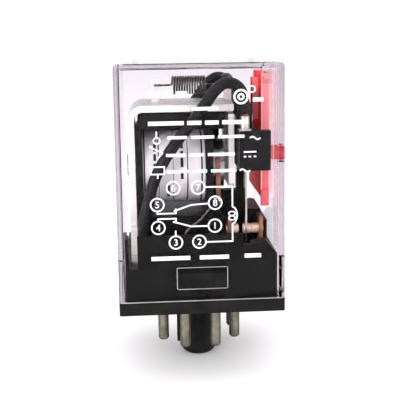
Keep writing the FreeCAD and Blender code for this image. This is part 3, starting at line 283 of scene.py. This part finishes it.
FINISHES = {
    "clear_plastic": clear_plastic(),
    "black_phenolic": moulded("black_thermoset", (0.004, 0.004, 0.004), (0.011, 0.011, 0.010), (0.34, 0.5),
                              gloss=0.1),
    "black_nylon": moulded("black_nylon", (0.005, 0.005, 0.005), (0.013, 0.013, 0.013), (0.4, 0.58),
                           patch=2 * MM, gloss=0.14),
    "red_plastic": red_plastic(),
    "plated_steel": metal("zinc_plated_steel", (0.84, 0.81, 0.745), (0.93, 0.905, 0.85), (0.22, 0.36),
                          patch=6 * MM, brush=(0.15, 1, 1), bare=0.35),
    "iron": metal("plated_iron", (0.42, 0.42, 0.42), (0.66, 0.65, 0.64), (0.25, 0.45)),
    "spring_steel": metal("drawn_spring_wire", (0.07, 0.065, 0.06), (0.20, 0.185, 0.17), (0.24, 0.38)),
    # edge=0.9: strong painted shade on the pins' slanted sides
    "pin_plating": metal("aged_nickel", (0.14, 0.13, 0.095), (0.27, 0.25, 0.19), (0.22, 0.40), patch=2.2 * MM,
                         brush=(1, 1, 0.12), grain=0.2 * MM, edge=0.9),
    "solder": metal("tin_solder", (0.46, 0.46, 0.45), (0.68, 0.68, 0.66), (0.24, 0.44), patch=0.8 * MM),
    "copper": metal("copper_strip", (0.26, 0.11, 0.06), (0.50, 0.24, 0.15), (0.28, 0.48),
                    brush=(1, 1, 0.2), bare=0.6),
    "copper_braid": metal("stranded_copper", (0.45, 0.20, 0.11), (0.84, 0.48, 0.31), (0.3, 0.5),
                          patch=0.6 * MM),
    "enamelled_copper": metal("magnet_wire", (0.30, 0.10, 0.04), (0.56, 0.24, 0.11), (0.2, 0.35)),
    "coil_tape": tape_finish(),
    "lead_sleeve": moulded("lead_sleeve", (0.05, 0.045, 0.03), (0.16, 0.145, 0.10), (0.2, 0.35),
                           patch=1 * MM, coat=0.5),
    "black_sleeve": woven_sleeve(),
    "contact_spring": metal("nickel_silver", (0.56, 0.51, 0.42), (0.80, 0.75, 0.66), (0.18, 0.36),
                            brush=(1, 1, 0.15)),
    "contact_silver": metal("silver_contact", (0.95, 0.62, 0.44), (1.0, 0.93, 0.82), (0.25, 0.45),
                            patch=0.5 * MM, bare=0.2),
}
# near-black: painted shade inside the tape's edge grooves, and the colour of the bars that stand for the
# tape's print
GAP_SHADE_AND_PRINT = moulded("tape_gap_shade_and_print", (0.008, 0.008, 0.008), (0.018, 0.017, 0.016), (0.6, 0.8), patch=0.6 * MM)
INK = moulded("white_ink", (0.74, 0.74, 0.75), (0.92, 0.92, 0.92), (0.4, 0.6), patch=0.7 * MM,
              grain=0.08 * MM)


def finish_cad_nodes():
    """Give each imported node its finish, by the slot that the record names."""
    for part in frame["record"]["subparts"]:
        slots = frame["nodes"][part["node"]].data.materials
        slots.clear()
        slots.append(FINISHES[part["material_slot"]])


# ---- mesh helpers --------------------------------------------------------------------------------

def make_piece(name, mesh_maker, materials, smooth=True):
    """A linked object around a bmesh that a function fills."""
    shape = bmesh.new()
    mesh_maker(shape)
    bmesh.ops.recalc_face_normals(shape, faces=shape.faces)
    mesh = bpy.data.meshes.new(name)
    shape.to_mesh(mesh)
    shape.free()
    for material in materials:
        mesh.materials.append(material)
    for face in mesh.polygons:
        face.use_smooth = smooth
    piece = bpy.data.objects.new(name, mesh)
    bpy.context.scene.collection.objects.link(piece)
    return piece


def arc(centre, radius, start, stop, steps, first, second):
    """Points on an arc in the plane of two unit vectors, angles in degrees."""
    points = []
    for k in range(steps + 1):
        angle = math.radians(start + (stop - start) * k / steps)
        points.append(centre + radius * (math.cos(angle) * first + math.sin(angle) * second))
    return points


def line_of(route):
    """The NURBS line of a given route, in metres, read from a curve with no bevel."""
    curve = bpy.data.curves.new("route", "CURVE")
    curve.dimensions = "3D"
    spline = curve.splines.new("NURBS")
    spline.points.add(len(route) - 1)
    for point, place in zip(spline.points, route):
        point.co = (*(MM * c for c in place), 1)
    spline.order_u = 3
    spline.use_endpoint_u = True
    spline.resolution_u = 14
    holder = bpy.data.objects.new("route", curve)
    mesh = bpy.data.meshes.new_from_object(holder)
    line = [vertex.co.copy() for vertex in mesh.vertices]
    bpy.data.objects.remove(holder)
    bpy.data.curves.remove(curve)
    bpy.data.meshes.remove(mesh)
    return line


def sweep(shape, line, sides, radius_at, caps=True):
    """A tube along a line. radius_at takes the length so far and the angle. UVs are in girths."""
    uv = shape.loops.layers.uv.verify()
    rings = []
    across = (line[1] - line[0]).orthogonal().normalized()
    run = 0.0
    runs = []
    for k, centre in enumerate(line):
        ahead = (line[min(k + 1, len(line) - 1)] - line[max(k - 1, 0)]).normalized()
        across = (across - across.dot(ahead) * ahead).normalized()
        other = ahead.cross(across)
        run += (centre - line[k - 1]).length if k else 0.0
        runs.append(run)
        ring = []
        for step in range(sides):
            turn = 2 * math.pi * step / sides
            reach = radius_at(run, turn)
            ring.append(shape.verts.new(centre + reach * (math.cos(turn) * across + math.sin(turn) * other)))
        rings.append(ring)
    girth = 2 * math.pi * radius_at(0.0, 0.0)
    for k in range(len(rings) - 1):
        for step in range(sides):
            after = (step + 1) % sides
            corners = (rings[k][step], rings[k][after], rings[k + 1][after], rings[k + 1][step])
            face = shape.faces.new(corners)
            places = ((step, k), (step + 1, k), (step + 1, k + 1), (step, k + 1))
            for loop, (turn, ring) in zip(face.loops, places):
                loop[uv].uv = (turn / sides, runs[ring] / girth)
    if caps:
        shape.faces.new(reversed(rings[0]))
        shape.faces.new(rings[-1])
    return rings


def bridge(shape, first, second):
    """Close the gap between two rings of vertices."""
    count = len(first)
    for step in range(count):
        after = (step + 1) % count
        shape.faces.new((first[step], first[after], second[after], second[step]))


# ---- coil tape -----------------------------------------------------------------------------------

# Bars that stand where the tape's print would be: place along the coil in millimetres, first and last
# angle in degrees.
TAPE_MARKS = [
    (-9.1, 44, 52), (-9.1, 28, 41), (-9.1, 14, 24), (-9.1, 0, 10),
    (-3.4, 32, 44), (-3.4, 22, 28), (-3.4, 4, 18), (-3.4, -14, -1),
    (-6.3, -48, -40), (-6.3, -36, -24),
]


def build_coil_tape():
    """Tape wound in overlapping bands with a groove at each edge, its faces painted near-black as shade."""
    low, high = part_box("coil_tape")
    axis_z = (low.z + high.z) / 2
    outer = (high.z - low.z) / 2
    inner = outer - 0.5 * MM
    band, gap, lap, sink = 3.04 * MM, 0.24 * MM, 0.07 * MM, 0.34 * MM
    first = low.x + 0.42 * MM
    columns = [(low.x, 0.03 * MM), (first - gap, 0.0)]      # place along the coil, depth below the skin
    edge = first
    while edge < high.x - gap:
        columns += [(edge - gap + 0.02 * MM, sink), (edge - 0.02 * MM, sink)]
        last = min(edge + band - gap, high.x)
        columns += [(edge, lap), (edge + 0.35 * (last - edge), 0.6 * lap),
                    (edge + 0.7 * (last - edge), 0.3 * lap), (last, 0.0)]
        edge += band
    facets = 144

    def fill(shape):
        rings = []
        for k, (x, drop) in enumerate(columns):
            ring = []
            for step in range(facets):
                angle = 2 * math.pi * step / facets
                wave = noise.noise(Vector((x / MM * 0.9, 2.2 * math.cos(angle), 2.2 * math.sin(angle))))
                reach = outer - drop - 0.05 * MM * (0.5 + 0.5 * wave)
                wander = 0.06 * MM * math.sin(angle + 1.3 * k) if 1 < k < len(columns) - 1 else 0.0
                place = (x + wander, reach * math.cos(angle), axis_z + reach * math.sin(angle))
                ring.append(shape.verts.new(place))
            rings.append(ring)
        for x in (high.x, low.x):
            rings.append([shape.verts.new((x, inner * math.cos(2 * math.pi * s / facets),
                                           axis_z + inner * math.sin(2 * math.pi * s / facets)))
                          for s in range(facets)])
        rings.append(rings[0])
        for k in range(len(rings) - 1):
            before = len(shape.faces)
            bridge(shape, rings[k], rings[k + 1])
            shape.faces.ensure_lookup_table()
            # groove faces take the near-black slot as painted shade
            dark = k < len(columns) - 1 and columns[k][1] >= sink
            for face in shape.faces[before:]:
                face.material_index = 1 if dark else 0

    piece = make_piece("coil_tape_wrap", fill, [FINISHES["coil_tape"], GAP_SHADE_AND_PRINT], smooth=False)
    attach(piece, "root")
    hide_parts("coil_tape")

    def fill_marks(shape):
        half_width, steps = 0.3, 6
        for x, start, stop in TAPE_MARKS:
            angles = [math.radians(start + (stop - start) * k / steps) for k in range(steps + 1)]
            rails = []
            for edge_x in (x - half_width, x + half_width):
                rails.append([shape.verts.new((edge_x * MM, -outer * math.cos(angle),
                                               axis_z + outer * math.sin(angle)))
                              for angle in angles])
            for k in range(steps):
                shape.faces.new((rails[0][k], rails[1][k], rails[1][k + 1], rails[0][k + 1]))

    marks = make_piece("coil_tape_marks", fill_marks, [GAP_SHADE_AND_PRINT], smooth=False)
    skin = marks.modifiers.new("ink", "SOLIDIFY")
    skin.thickness = 0.03 * MM
    skin.offset = 0
    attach(marks, "root")


# ---- return spring -------------------------------------------------------------------------------

def build_return_spring():
    """Close-wound tension spring with a ring at each end."""
    low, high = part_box("return_spring")
    wire = 0.2 * MM
    left_ring, right_ring = 0.95 * MM, 1.3 * MM
    coil = (high.y - low.y) / 2 - wire
    axis_z = low.z + wire + coil
    left_x, right_x = -4.85 * MM, 2.45 * MM
    turns, per_turn = 13, 36
    anchor = Vector((low.x + wire + left_ring, 0, axis_z))
    hook = Vector((high.x - wire - right_ring, 0, axis_z + 0.95 * MM))

    line = arc(anchor, left_ring, 60, 360, 30, ALONG_X, ALONG_Y)
    line.append(Vector((left_x - 0.9 * MM, 0.1 * MM, axis_z)))
    line.append(Vector((left_x - 0.45 * MM, 0.35 * coil, axis_z)))
    for k in range(turns * per_turn + 1):
        share = k / (turns * per_turn)
        angle = 2 * math.pi * turns * share
        x = left_x + (right_x - left_x) * share
        line.append(Vector((x, coil * math.cos(angle), axis_z + coil * math.sin(angle))))
    line.append(Vector((right_x + 0.45 * MM, 0.35 * coil, axis_z)))
    line.append(Vector((right_x + 0.9 * MM, 0, axis_z - 0.05 * MM)))
    line += arc(hook, right_ring, 215, 500, 30, ALONG_X, UP)

    def fill(shape):
        sweep(shape, line, 10, lambda run, turn: wire)

    piece = make_piece("return_spring_wire", fill, [FINISHES["spring_steel"]])
    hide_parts("return_spring")
    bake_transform(piece)


# ---- pigtails ------------------------------------------------------------------------------------

# Route of the front pigtail from its lug down to its pin, in millimetres; the back one is its mirror image.
PIGTAIL_ROUTE = [
    (9.5, -10.9, 40.6),
    (9.4, -10.9, 43.8),
    (8.3, -10.9, 46.4),
    (5.6, -10.9, 47.3),
    (3.1, -10.9, 45.2),
    (0.9, -10.9, 41.8),
    (-5.6, -10.9, 33.9),
    (-9.2, -10.9, 27.9),
    (-10.6, -10.9, 22.9),
    (-12.2, -10.9, 17.2),
    (-11.6, -10.9, 12.8),
    (-10.0, -9.3, 9.6),
    (-8.9, -5.4, 8.3),
    (-8.06, -3.4, 6.6),
    (-8.06, -3.34, 4.6),
]


def build_pigtail(side, sign):
    """Copper braid in a woven sleeve, from the moving carrier to its pin."""
    route = [(x, -sign * y, z) for x, y, z in PIGTAIL_ROUTE]
    line = line_of(route)
    sleeve, bore, braid = 1.2 * MM, 0.85 * MM, 0.8 * MM
    strands, lay = 14, 5.5 * MM
    cup = 0.5 * MM
    whole = sum((b - a).length for a, b in zip(line, line[1:]))

    def sleeve_radius(run, turn):
        rumple = noise.noise(Vector((run / MM * 0.7, 1.5 * math.cos(turn), 1.5 * math.sin(turn) + 9 * sign)))
        return sleeve * (1 + 0.035 * rumple)

    def fill_sleeve(shape):
        outside = sweep(shape, line, 28, sleeve_radius, caps=False)
        inside = sweep(shape, line, 28, lambda run, turn: bore, caps=False)
        bridge(shape, outside[0], inside[0])
        bridge(shape, outside[-1], inside[-1])

    def braid_radius(run, turn):
        full = braid - (braid - cup) * min(1, max(0, (run - whole + 1.2 * MM) / (1.0 * MM)))
        return full * (0.93 + 0.07 * abs(math.sin(strands / 2 * (turn + 2 * math.pi * run / lay))))

    def fill_braid(shape):
        tip = line[0] - 0.35 * MM * UP
        foot = line[-1] - 3.4 * MM * UP
        sweep(shape, [tip, *line, foot], 42, braid_radius)

    for kind, fill, slot in (("sleeve", fill_sleeve, "black_sleeve"), ("braid", fill_braid, "copper_braid")):
        piece = make_piece(f"pigtail_{kind}_{side}_run", fill, [FINISHES[slot]])
        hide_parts(f"pigtail_{kind}_{side}")
        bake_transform(piece)


# ---- test lever ----------------------------------------------------------------------------------

def build_lever_edge_highlight():
    """Bead along the front edge of the test lever, coloured pale pink as a painted highlight."""
    _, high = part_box("test_lever")
    inner, front, foot, head = 13.65 * MM, -6.0 * MM, 23.7 * MM, high.z - 0.1 * MM
    bead, steps = 0.11 * MM, 24
    line = [Vector((inner + 1.1 * bead, front, foot + (head - foot) * k / steps)) for k in range(steps + 1)]

    def fill(shape):
        sweep(shape, line, 8, lambda run, turn: bead)

    # pale pink colour: a painted highlight along the lever's edge
    finish = moulded("red_edge_painted_highlight", (0.90, 0.55, 0.55), (0.98, 0.78, 0.76), (0.3, 0.5), patch=1.5 * MM)
    piece = make_piece("test_lever_edge_highlight", fill, [finish])
    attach(piece, "test_lever")


# ---- cover edge glints (painted highlights) ------------------------------------------------------

def build_cover_edge_glints():
    """Grey beads painted as highlights: the light lines along the cover's lower lip and the rims of its two
    latch windows.
    """
    low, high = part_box("cover")
    lean = math.tan(math.radians(DRAFT))
    bead = 0.1 * MM
    corner, lip = 0.9 * MM, low.z + bead
    reach = high.x - bead / 2
    square = []
    for k in range(4):
        middle = Matrix.Rotation(k * math.pi / 2, 3, "Z") @ Vector((reach - corner, reach - corner, lip))
        square += arc(middle, corner, 90 * k, 90 * k + 90, 8, ALONG_X, ALONG_Y)
    half, sill, head, turn = WINDOW_HALF * MM, WINDOW_LOW * MM, WINDOW_HIGH * MM, 0.25 * MM
    window = []
    for k, (x, z) in enumerate(((half, head), (-half, head), (-half, sill), (half, sill))):
        inside = Vector((x - math.copysign(turn, x), 0, z + (turn if z == sill else -turn)))
        window += arc(inside, turn, 90 * k, 90 * k + 90, 5, ALONG_X, UP)

    def fill(shape):
        sweep(shape, square + square[:1], 10, lambda run, turn: bead)
        for side in (-1, 1):
            rim = [Vector((v.x, side * (high.y - lean * (v.z - low.z)), v.z)) for v in window]
            sweep(shape, rim + rim[:1], 8, lambda run, turn: 0.8 * bead)

    # grey beads: painted highlights where the clear cover's edges show light lines
    finish = moulded("painted_edge_glint", (0.26, 0.25, 0.26), (0.46, 0.45, 0.46), (0.25, 0.4), patch=4 * MM)
    piece = make_piece("cover_edge_glints", fill, [finish])
    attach(piece, "root")


# ---- front print ---------------------------------------------------------------------------------

INK_LIFT = 0.012 * MM
INK_DEPTH = 0.016 * MM
RING = 1.32         # radius of a pin's ring, in millimetres like all of the drawing
LINE = 0.30         # line width of the pin diagram
SIGN_LINE = 0.28    # line width of the circuit signs


def ribbon(shape, points, width, closed=False):
    """A flat mitred band along a polyline in the x, z plane, in millimetres."""
    count = len(points)
    left, right = [], []
    for k, (x, z) in enumerate(points):
        here = Vector((x, z))
        before = Vector(points[(k - 1) % count]) if closed or k else None
        after = Vector(points[(k + 1) % count]) if closed or k < count - 1 else None
        into = (here - before).normalized() if before else (after - here).normalized()
        out = (after - here).normalized() if after else into
        normal = Vector((-into.y - out.y, into.x + out.x)).normalized()
        reach = width / 2 / max(0.3, normal.dot(Vector((-into.y, into.x))))
        for side, way in ((left, 1), (right, -1)):
            spot = here + way * reach * normal
            side.append(shape.verts.new((spot.x * MM, 0, spot.y * MM)))
    for k in range(count if closed else count - 1):
        after = (k + 1) % count
        shape.faces.new((left[k], left[after], right[after], right[k]))


def ring_points(x, z, radius, steps=40, start=0, stop=360):
    """Points round a circle, or along a part of one, angles in degrees."""
    count = steps if stop - start == 360 else steps + 1
    angles = [math.radians(start + (stop - start) / steps * k) for k in range(count)]
    return [(x + radius * math.cos(angle), z + radius * math.sin(angle)) for angle in angles]


def numeral(shape, text, x, z, height):
    """A digit from the plain built-in typeface, centred on a point."""
    font = bpy.data.curves.new("numeral", "FONT")
    font.body = text
    font.size = height * MM / 0.7
    font.align_x = "CENTER"
    font.align_y = "CENTER"
    font.offset = 0.01 * MM
    holder = bpy.data.objects.new("numeral", font)
    mesh = bpy.data.meshes.new_from_object(holder)
    corners = [vertex.co for vertex in mesh.vertices]
    middle = (Vector(map(max, zip(*corners))) + Vector(map(min, zip(*corners)))) / 2
    mesh.transform(Matrix.Translation(Vector((x * MM, z * MM, 0)) - middle))
    mesh.transform(Matrix(((1, 0, 0, 0), (0, 0, 1, 0), (0, 1, 0, 0), (0, 0, 0, 1))))
    shape.from_mesh(mesh)
    bpy.data.objects.remove(holder)
    bpy.data.curves.remove(font)
    bpy.data.meshes.remove(mesh)


PIN_MARKS = {"1": (2.66, 18.73), "2": (-0.53, 15.46), "3": (-5.32, 15.44), "4": (-8.81, 18.6),
             "5": (-8.91, 23.33), "6": (-5.62, 26.7), "7": (-0.64, 26.72), "8": (2.76, 23.47)}


def draw_diagram(shape):
    """Pin diagram: a numbered ring for each pin, two changeover contacts and the coil."""
    for digit, (x, z) in PIN_MARKS.items():
        ribbon(shape, ring_points(x, z, RING), LINE, closed=True)
        numeral(shape, digit, x, z, 1.35)
    coil_x, coil_top, coil_low = 6.25, 22.5, 19.1
    upper_lead, lower_lead = 26.74, 15.37
    edge = RING + LINE / 2
    seven, two = PIN_MARKS["7"], PIN_MARKS["2"]
    ribbon(shape, [(seven[0] + edge, upper_lead), (coil_x, upper_lead), (coil_x, coil_top)], LINE)
    ribbon(shape, [(coil_x, coil_low), (coil_x, lower_lead), (two[0] + edge, lower_lead)], LINE)
    reach = (coil_top - coil_low) / 2
    arch = ring_points(coil_x, coil_low + reach, reach, 24, -90, 90)
    ribbon(shape, [(coil_x + 0.55 * (x - coil_x), z) for x, z in arch], LINE)
    for z in (20.23, 21.15):
        oval = ring_points(0, z, 0.43, 20)
        ribbon(shape, [(coil_x - 0.1 + 1.5 * x, z) for x, z in oval], LINE * 0.85, closed=True)
    for line in (
        [(1.31, 23.37), (-2.13, 23.16), (-5.62, 21.96)],
        [(-8.91, 21.9), (-8.91, 21.51), (-5.22, 21.52), (-5.22, 22.51)],
        [(1.21, 18.72), (-2.13, 18.71), (-5.82, 19.79)],
        [(-8.81, 20.03), (-8.81, 20.42), (-5.22, 20.43), (-5.22, 19.45)],
        [(-5.32, 16.88), (-5.32, 17.92)],
    ):
        ribbon(shape, line, LINE)


def draw_symbols(shape):
    """Generic circuit signs beside plain bars that stand where the maker's text would be."""
    def bar(x0, x1, z, width):
        ribbon(shape, [(x0, z), (x1, z)], width)

    def words(x, z, lengths, width, space=0.55):
        for length in lengths:
            bar(x, x + length, z, width)
            x += length + space

    def tilde(x, z):
        wave = [(x + 0.21 * k, z - 0.28 * math.sin(math.pi * k / 5)) for k in range(-5, 6)]
        ribbon(shape, wave, 0.3)

    words(-10.1, 45.3, (2.1, 2.0, 2.1), 1.1, space=0.7)
    words(-10.2, 42.4, (8.0, 5.3), 0.7)
    words(-10.3, 39.65, (7.0, 2.8, 2.7, 4.7), 0.8, space=0.7)
    for z, start, lengths in ((36.8, -6.5, (3.8, 4.6, 5.2)), (33.3, -6.9, (3.8, 2.9, 5.4)),
                              (30.0, -6.8, (4.4, 2.8, 5.1))):
        words(start, z, lengths, 0.6, space=0.8)
    tilde(10.85, 36.4)
    tilde(8.8, 29.9)
    bar(8.58, 11.1, 33.65, 0.32)
    for x in (8.82, 9.8, 10.83):
        bar(x - 0.25, x + 0.25, 32.7, 0.32)
    ribbon(shape, ring_points(-8.71, 36.24, 0.62), SIGN_LINE, closed=True)
    ribbon(shape, [(-8.71, 36.98), (-8.71, 38.11)], SIGN_LINE)
    ribbon(shape, [(-10.2, 35.15), (-7.61, 33.78), (-8.71, 32.6)], SIGN_LINE)
    coil_sign = [(-10.0, 31.02), (-7.32, 31.02), (-7.32, 29.55), (-10.0, 29.55)]
    ribbon(shape, coil_sign, SIGN_LINE, closed=True)
    ribbon(shape, [(-8.66, 29.4), (-8.66, 28.66)], SIGN_LINE)
    for radius in (1.3, 0.5):
        ribbon(shape, ring_points(8.05, 44.6, radius), 0.4, closed=True)
    ribbon(shape, ring_points(10.25, 46.05, 0.62), 0.22, closed=True)
    bar(10.4, 12.5, 44.0, 0.8)
    words(-10.36, 12.12, (7.9, 6.0), 0.85, space=1.95)
    bar(8.7, 12.1, 12.2, 0.85)


def build_front_print():
    """All the front ink as one thin skin that follows the cover's drafted face."""
    face_low, face_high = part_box("cover")
    lean = math.tan(math.radians(DRAFT))

    def fill(shape):
        draw_diagram(shape)
        draw_symbols(shape)
        for vertex in shape.verts:
            vertex.co.y = face_low.y + lean * (vertex.co.z - face_low.z) - INK_LIFT

    piece = make_piece("front_print", fill, [INK], smooth=False)
    skin = piece.modifiers.new("ink", "SOLIDIFY")
    skin.thickness = INK_DEPTH
    skin.offset = 0
    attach(piece, "root")


def build_base_numbers():
    """Raised pin numbers around the pin circle on the flange's underside."""
    circle, height, rise = 12.4, 1.9, 0.12 * MM

    def fill(shape):
        for k in range(8):
            low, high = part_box(f"pin_{k + 1}")
            pin = (low + high) / 2
            spot = Vector((pin.x, pin.y)).normalized() * circle
            numeral(shape, str(k + 1), spot.x, -spot.y, height)
        shape.transform(Matrix(((1, 0, 0, 0), (0, 0, -1, 0), (0, 1, 0, 0), (0, 0, 0, 1))))
        for vertex in shape.verts:
            vertex.co.z = -rise / 2

    piece = make_piece("base_pin_numbers", fill, [FINISHES["black_phenolic"]], smooth=False)
    skin = piece.modifiers.new("raised", "SOLIDIFY")
    skin.thickness = rise
    skin.offset = 0
    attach(piece, "root")


# ---- stage ---------------------------------------------------------------------------------------

def build_stage():
    """Pale floor under the key post that sweeps up into a wall far behind."""
    level = cad_low.z - 0.02 * MM
    half, front, turn, radius, top = 4.0, -2.5, 2.0, 1.0, 2.0
    profile = [(front, level), (turn, level)]
    profile += [(turn + radius * math.sin(a), level + radius * (1 - math.cos(a)))
                for a in (math.radians(9 * k) for k in range(1, 11))]
    profile.append((turn + radius, top))

    def fill(shape):
        rows = [[shape.verts.new((x, y, z)) for x in (-half, half)] for y, z in profile]
        for low, high in zip(rows, rows[1:]):
            shape.faces.new((low[0], low[1], high[1], high[0]))

    floor_finish = moulded("floor_paper", (0.93, 0.925, 0.93), (0.95, 0.945, 0.95), (0.8, 0.9), patch=60 * MM,
                           grain=1 * MM, depth=0.001 * MM)
    floor = make_piece("floor", fill, [floor_finish])


def add_light(name, place, aim, size, power):
    """A soft rectangular lamp turned towards a point."""
    lamp = bpy.data.lights.new(name, "AREA")
    lamp.shape = "RECTANGLE"
    lamp.size, lamp.size_y = size
    lamp.energy = power
    holder = bpy.data.objects.new(name, lamp)
    holder.location = place
    holder.rotation_euler = (Vector(aim) - Vector(place)).to_track_quat("-Z", "Y").to_euler()
    bpy.context.scene.collection.objects.link(holder)


def light_scene():
    """Bright even surroundings and three soft lamps."""
    world = bpy.data.worlds.new("studio")
    world.use_nodes = True
    sky = world.node_tree.nodes["Background"]
    sky.inputs["Color"].default_value = (1.0, 0.985, 1.0, 1)
    sky.inputs["Strength"].default_value = 1.22
    bpy.context.scene.world = world
    aim = (0, 0, 0.02)
    add_light("overhead", (0.0, 0.05, 0.75), aim, (1.2, 1.2), 1.6)
    add_light("front_left", (-0.55, -0.5, 0.2), aim, (0.5, 0.4), 3.2)
    add_light("front_right", (0.6, -0.4, 0.2), aim, (0.4, 0.4), 1.4)
    bpy.context.scene.view_settings.view_transform = "Standard"


def add_camera():
    view = bpy.data.cameras.new("camera")
    view.lens = 67.81
    view.sensor_width = 36.0
    view.clip_start = 0.01
    holder = bpy.data.objects.new("camera", view)
    holder.location = mm(-10.092, -164.670, 56.719)
    holder.rotation_euler = [math.radians(a) for a in (77.570, 0.776, -3.967)]
    bpy.context.scene.collection.objects.link(holder)
    bpy.context.scene.camera = holder


add_camera()
light_scene()
build_stage()
finish_cad_nodes()
build_coil_tape()
build_return_spring()
build_pigtail("front", -1)
build_pigtail("back", 1)
build_lever_edge_highlight()
build_cover_edge_glints()
build_front_print()
build_base_numbers()
